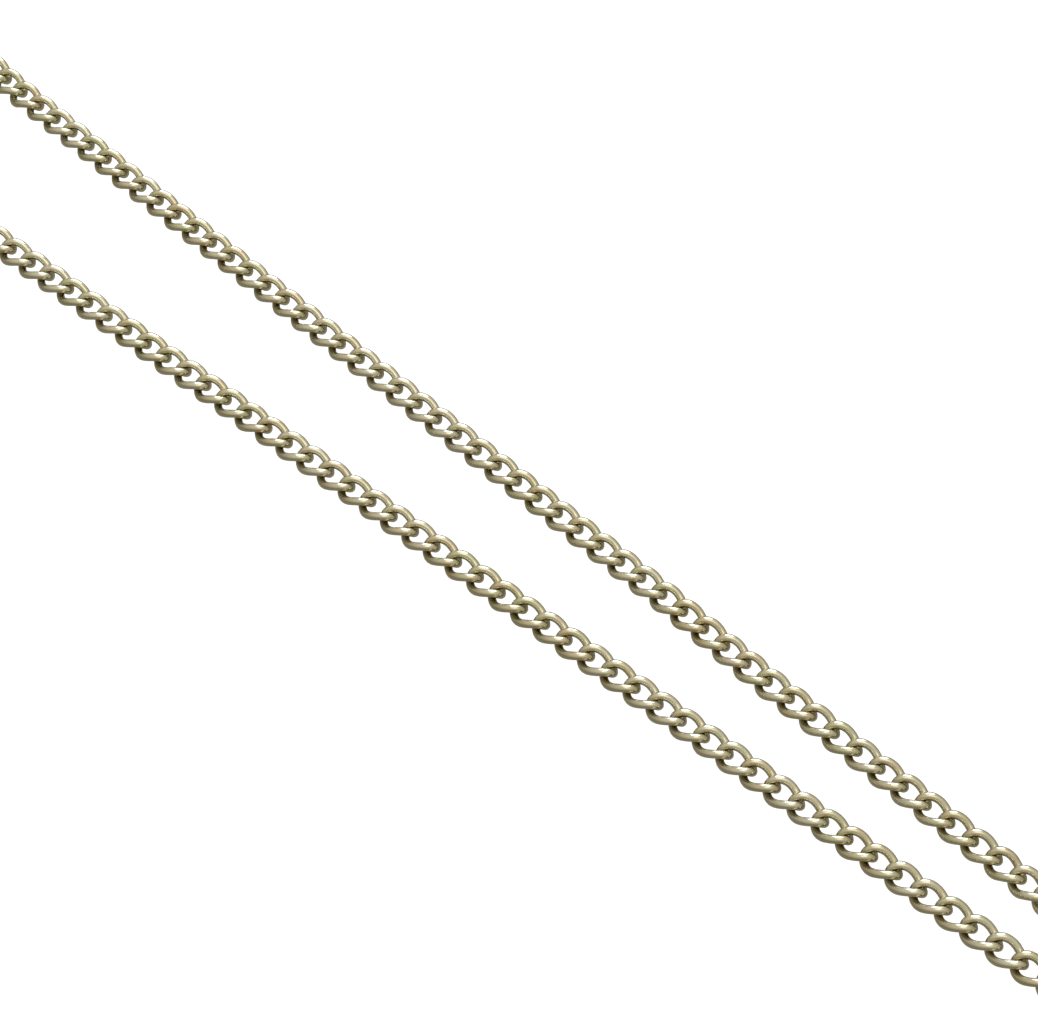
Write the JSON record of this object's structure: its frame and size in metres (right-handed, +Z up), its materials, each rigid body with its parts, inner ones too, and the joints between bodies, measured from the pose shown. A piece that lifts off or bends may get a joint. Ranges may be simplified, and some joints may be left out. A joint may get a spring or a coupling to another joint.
{
  "type": "pocket watch chain",
  "caption": "Long flattened curb-link chain laid folded in two, with a ball-ended T-bar at one end and a swivel clip at the other.",
  "frame": {"origin": "centre of the laid chain's footprint, on the surface it lies on", "axes": "+X along the two runs towards the T-bar and the clip, +Y from the clip's run to the T-bar's run, +Z up"},
  "size_m": [0.2194, 0.0337, 0.0038],
  "materials": {
    "link_gold": "polished pale gold, darkened in the hollows",
    "fitting_gold": "polished pale gold",
    "spring_steel": "drawn wire"
  },
  "bodies": {
    "links_01": {"curb_links_01": "link_gold"},
    "links_02": {"curb_links_02": "link_gold"},
    "links_03": {"curb_links_03": "link_gold"},
    "links_04": {"curb_links_04": "link_gold"},
    "links_05": {"curb_links_05": "link_gold"},
    "links_06": {"curb_links_06": "link_gold"},
    "links_07": {"curb_links_07": "link_gold"},
    "links_08": {"curb_links_08": "link_gold"},
    "links_09": {"curb_links_09": "link_gold"},
    "links_10": {"curb_links_10": "link_gold"},
    "links_11": {"curb_links_11": "link_gold"},
    "links_12": {"curb_links_12": "link_gold"},
    "links_13": {"curb_links_13": "link_gold"},
    "links_14": {"curb_links_14": "link_gold"},
    "links_15": {"curb_links_15": "link_gold"},
    "links_16": {"curb_links_16": "link_gold"},
    "links_17": {"curb_links_17": "link_gold"},
    "links_18": {"curb_links_18": "link_gold"},
    "links_19": {"curb_links_19": "link_gold"},
    "links_20": {"curb_links_20": "link_gold"},
    "links_21": {"curb_links_21": "link_gold"},
    "links_22": {"curb_links_22": "link_gold"},
    "links_23": {"curb_links_23": "link_gold"},
    "links_24": {"curb_links_24": "link_gold"},
    "links_25": {"curb_links_25": "link_gold"},
    "links_26": {"curb_links_26": "link_gold"},
    "links_27": {"curb_links_27": "link_gold"},
    "links_28": {"curb_links_28": "link_gold"},
    "links_29": {"curb_links_29": "link_gold"},
    "links_30": {"curb_links_30": "link_gold"},
    "links_31": {"curb_links_31": "link_gold"},
    "links_32": {"curb_links_32": "link_gold"},
    "links_33": {"curb_links_33": "link_gold"},
    "links_34": {"curb_links_34": "link_gold"},
    "links_35": {"curb_links_35": "link_gold"},
    "links_36": {"curb_links_36": "link_gold"},
    "links_37": {"curb_links_37": "link_gold"},
    "links_38": {"curb_links_38": "link_gold"},
    "links_39": {"curb_links_39": "link_gold"},
    "links_40": {"curb_links_40": "link_gold"},
    "links_41": {"curb_links_41": "link_gold"},
    "links_42": {"curb_links_42": "link_gold"},
    "links_43": {"curb_links_43": "link_gold"},
    "t_bar_ring": {"t_bar_jump_ring": "fitting_gold"},
    "t_bar_eye": {"t_bar_eye": "fitting_gold"},
    "t_bar": {"t_bar_rod": "fitting_gold"},
    "clip_ring": {"clip_jump_ring": "fitting_gold"},
    "clip_eye": {"clip_swivel_eye": "fitting_gold"},
    "clip": {"clip_body": "fitting_gold", "clip_gate_pin": "fitting_gold", "clip_gate_spring": "spring_steel"},
    "gate": {"clip_gate": "fitting_gold"}
  },
  "joints": [
    {"name": "gate_hinge", "type": "hinge", "parent": "clip", "child": "gate", "pos_m": [0.09883, -0.00757, 0.0019], "axis": [0, 0, 1], "range_deg": [-32, 0], "stiffness_Nm_per_rad": 0.01, "springref_deg": 11.46},
    {"name": "clip_swivel", "type": "hinge", "parent": "clip_eye", "child": "clip", "pos_m": [0.09161, -0.00982, 0.0019], "axis": [0.984, -0.1781, 0], "continuous": true},
    {"name": "clip_eye_hinge", "type": "hinge", "parent": "clip_ring", "child": "clip_eye", "pos_m": [0.08832, -0.00923, 0.0019], "axis": [0.1781, 0.984, 0], "range_deg": [-20, 20]},
    {"name": "clip_ring_hinge", "type": "hinge", "parent": "links_43", "child": "clip_ring", "pos_m": [0.08758, -0.00909, 0.00113], "axis": [0.1259, 0.6958, -0.7071], "range_deg": [-5, 15]},
    {"name": "t_bar_spin", "type": "hinge", "parent": "t_bar_eye", "child": "t_bar", "pos_m": [0.07484, 0.00687, 0.0019], "axis": [-0.6876, 0.7261, 0], "continuous": true},
    {"name": "t_bar_eye_hinge", "type": "hinge", "parent": "t_bar_ring", "child": "t_bar_eye", "pos_m": [0.07179, 0.00398, 0.0019], "axis": [-0.6876, 0.7261, 0], "range_deg": [-20, 20]},
    {"name": "t_bar_ring_hinge", "type": "hinge", "parent": "links_01", "child": "t_bar_ring", "pos_m": [0.07124, 0.00347, 0.00113], "axis": [-0.4862, 0.5134, -0.7071], "range_deg": [-5, 15]},
    {"name": "hinge_20_21", "type": "hinge", "parent": "links_21", "child": "links_20", "pos_m": [-0.10615, 0.00093, 0.00113], "axis": [0.6349, -0.3112, 0.7071], "range_deg": [0, 42]},
    {"name": "hinge_19_20", "type": "hinge", "parent": "links_20", "child": "links_19", "pos_m": [-0.09921, 0.00476, 0.00113], "axis": [0.0754, 0.7031, 0.7071], "range_deg": [0, 42]},
    {"name": "hinge_18_19", "type": "hinge", "parent": "links_19", "child": "links_18", "pos_m": [-0.08926, 0.00404, 0.00113], "axis": [0.0262, 0.7066, -0.7071], "range_deg": [-24, 24]},
    {"name": "hinge_17_18", "type": "hinge", "parent": "links_18", "child": "links_17", "pos_m": [-0.08125, 0.00374, 0.00113], "axis": [-0.0262, -0.7066, -0.7071], "range_deg": [-24, 24]},
    {"name": "hinge_16_17", "type": "hinge", "parent": "links_17", "child": "links_16", "pos_m": [-0.07127, 0.00337, 0.00113], "axis": [-0.0262, -0.7066, 0.7071], "range_deg": [-24, 24]},
    {"name": "hinge_15_16", "type": "hinge", "parent": "links_16", "child": "links_15", "pos_m": [-0.06326, 0.00308, 0.00113], "axis": [0.0257, 0.7066, 0.7071], "range_deg": [-24, 24]},
    {"name": "hinge_14_15", "type": "hinge", "parent": "links_15", "child": "links_14", "pos_m": [-0.05329, 0.00272, 0.00113], "axis": [0.0247, 0.7067, -0.7071], "range_deg": [-24, 24]},
    {"name": "hinge_13_14", "type": "hinge", "parent": "links_14", "child": "links_13", "pos_m": [-0.04527, 0.00245, 0.00113], "axis": [-0.0227, -0.7067, -0.7071], "range_deg": [-24, 24]},
    {"name": "hinge_12_13", "type": "hinge", "parent": "links_13", "child": "links_12", "pos_m": [-0.0353, 0.00214, 0.00113], "axis": [-0.0217, -0.7068, 0.7071], "range_deg": [-24, 24]},
    {"name": "hinge_11_12", "type": "hinge", "parent": "links_12", "child": "links_11", "pos_m": [-0.02728, 0.00191, 0.00113], "axis": [0.0197, 0.7068, 0.7071], "range_deg": [-24, 24]},
    {"name": "hinge_10_11", "type": "hinge", "parent": "links_11", "child": "links_10", "pos_m": [-0.0173, 0.00163, 0.00113], "axis": [0.0192, 0.7068, -0.7071], "range_deg": [-24, 24]},
    {"name": "hinge_09_10", "type": "hinge", "parent": "links_10", "child": "links_09", "pos_m": [-0.00929, 0.00141, 0.00113], "axis": [-0.0192, -0.7068, -0.7071], "range_deg": [-24, 24]},
    {"name": "hinge_08_09", "type": "hinge", "parent": "links_09", "child": "links_08", "pos_m": [0.00069, 0.00114, 0.00113], "axis": [-0.0192, -0.7068, 0.7071], "range_deg": [-24, 24]},
    {"name": "hinge_07_08", "type": "hinge", "parent": "links_08", "child": "links_07", "pos_m": [0.00871, 0.00094, 0.00113], "axis": [0.0427, 0.7058, 0.7071], "range_deg": [-22.1, 25.9]},
    {"name": "hinge_06_07", "type": "hinge", "parent": "links_07", "child": "links_06", "pos_m": [0.01867, 0.00034, 0.00113], "axis": [0.0427, 0.7058, -0.7071], "range_deg": [-24, 24]},
    {"name": "hinge_05_06", "type": "hinge", "parent": "links_06", "child": "links_05", "pos_m": [0.02668, -0.00006, 0.00113], "axis": [-0.0192, -0.7068, -0.7071], "range_deg": [-24, 24]},
    {"name": "hinge_04_05", "type": "hinge", "parent": "links_05", "child": "links_04", "pos_m": [0.03665, -0.00034, 0.00113], "axis": [-0.0192, -0.7068, 0.7071], "range_deg": [-24, 24]},
    {"name": "hinge_03_04", "type": "hinge", "parent": "links_04", "child": "links_03", "pos_m": [0.04467, -0.00055, 0.00113], "axis": [0.0192, 0.7068, 0.7071], "range_deg": [-24, 24]},
    {"name": "hinge_02_03", "type": "hinge", "parent": "links_03", "child": "links_02", "pos_m": [0.05465, -0.00083, 0.00113], "axis": [0.0192, 0.7068, -0.7071], "range_deg": [-24, 24]},
    {"name": "hinge_01_02", "type": "hinge", "parent": "links_02", "child": "links_01", "pos_m": [0.06268, -0.00117, 0.00113], "axis": [0.1644, -0.6877, -0.7071], "range_deg": [0, 39]},
    {"name": "hinge_21_22", "type": "hinge", "parent": "links_21", "child": "links_22", "pos_m": [-0.10759, -0.00862, 0.00113], "axis": [0.6986, 0.1093, -0.7071], "range_deg": [0, 42]},
    {"name": "hinge_22_23", "type": "hinge", "parent": "links_22", "child": "links_23", "pos_m": [-0.1021, -0.01432, 0.00113], "axis": [-0.1362, -0.6939, -0.7071], "range_deg": [0, 42]},
    {"name": "hinge_23_24", "type": "hinge", "parent": "links_23", "child": "links_24", "pos_m": [-0.09223, -0.01427, 0.00113], "axis": [0.0788, -0.7027, 0.7071], "range_deg": [-22, 26]},
    {"name": "hinge_24_25", "type": "hinge", "parent": "links_24", "child": "links_25", "pos_m": [-0.08422, -0.01387, 0.00113], "axis": [0.0293, -0.7065, -0.7071], "range_deg": [-24, 24]},
    {"name": "hinge_25_26", "type": "hinge", "parent": "links_25", "child": "links_26", "pos_m": [-0.07425, -0.01345, 0.00113], "axis": [-0.029, 0.7065, -0.7071], "range_deg": [-24, 24]},
    {"name": "hinge_26_27", "type": "hinge", "parent": "links_26", "child": "links_27", "pos_m": [-0.06623, -0.01313, 0.00113], "axis": [-0.0284, 0.7065, 0.7071], "range_deg": [-24, 24]},
    {"name": "hinge_27_28", "type": "hinge", "parent": "links_27", "child": "links_28", "pos_m": [-0.05626, -0.01273, 0.00113], "axis": [0.0281, -0.7065, 0.7071], "range_deg": [-24, 24]},
    {"name": "hinge_28_29", "type": "hinge", "parent": "links_28", "child": "links_29", "pos_m": [-0.04825, -0.01241, 0.00113], "axis": [0.0275, -0.7066, -0.7071], "range_deg": [-24, 24]},
    {"name": "hinge_29_30", "type": "hinge", "parent": "links_29", "child": "links_30", "pos_m": [-0.03828, -0.01203, 0.00113], "axis": [-0.0272, 0.7066, -0.7071], "range_deg": [-24, 24]},
    {"name": "hinge_30_31", "type": "hinge", "parent": "links_30", "child": "links_31", "pos_m": [-0.03026, -0.01172, 0.00113], "axis": [-0.0267, 0.7066, 0.7071], "range_deg": [-24, 24]},
    {"name": "hinge_31_32", "type": "hinge", "parent": "links_31", "child": "links_32", "pos_m": [-0.02029, -0.01135, 0.00113], "axis": [0.0264, -0.7066, 0.7071], "range_deg": [-24, 24]},
    {"name": "hinge_32_33", "type": "hinge", "parent": "links_32", "child": "links_33", "pos_m": [-0.01227, -0.01105, 0.00113], "axis": [0.0258, -0.7066, -0.7071], "range_deg": [-24, 24]},
    {"name": "hinge_33_34", "type": "hinge", "parent": "links_33", "child": "links_34", "pos_m": [-0.0023, -0.01069, 0.00113], "axis": [-0.0255, 0.7066, -0.7071], "range_deg": [-24, 24]},
    {"name": "hinge_34_35", "type": "hinge", "parent": "links_34", "child": "links_35", "pos_m": [0.00572, -0.0104, 0.00113], "axis": [-0.0249, 0.7067, 0.7071], "range_deg": [-24, 24]},
    {"name": "hinge_35_36", "type": "hinge", "parent": "links_35", "child": "links_36", "pos_m": [0.01569, -0.01006, 0.00113], "axis": [0.0246, -0.7067, 0.7071], "range_deg": [-24, 24]},
    {"name": "hinge_36_37", "type": "hinge", "parent": "links_36", "child": "links_37", "pos_m": [0.0237, -0.00978, 0.00113], "axis": [0.024, -0.7067, -0.7071], "range_deg": [-24, 24]},
    {"name": "hinge_37_38", "type": "hinge", "parent": "links_37", "child": "links_38", "pos_m": [0.03368, -0.00944, 0.00113], "axis": [-0.0237, 0.7067, -0.7071], "range_deg": [-24, 24]},
    {"name": "hinge_38_39", "type": "hinge", "parent": "links_38", "child": "links_39", "pos_m": [0.04169, -0.00918, 0.00113], "axis": [-0.0231, 0.7067, 0.7071], "range_deg": [-24, 24]},
    {"name": "hinge_39_40", "type": "hinge", "parent": "links_39", "child": "links_40", "pos_m": [0.05167, -0.00885, 0.00113], "axis": [0.0228, -0.7067, 0.7071], "range_deg": [-24, 24]},
    {"name": "hinge_40_41", "type": "hinge", "parent": "links_40", "child": "links_41", "pos_m": [0.05968, -0.0086, 0.00113], "axis": [0.0222, -0.7068, -0.7071], "range_deg": [-24, 24]},
    {"name": "hinge_41_42", "type": "hinge", "parent": "links_41", "child": "links_42", "pos_m": [0.06966, -0.00829, 0.00113], "axis": [-0.0219, 0.7068, -0.7071], "range_deg": [-24, 24]},
    {"name": "hinge_42_43", "type": "hinge", "parent": "links_42", "child": "links_43", "pos_m": [0.07768, -0.00801, 0.00113], "axis": [0.0279, 0.7066, 0.7071], "range_deg": [-20, 28]}
  ]
}
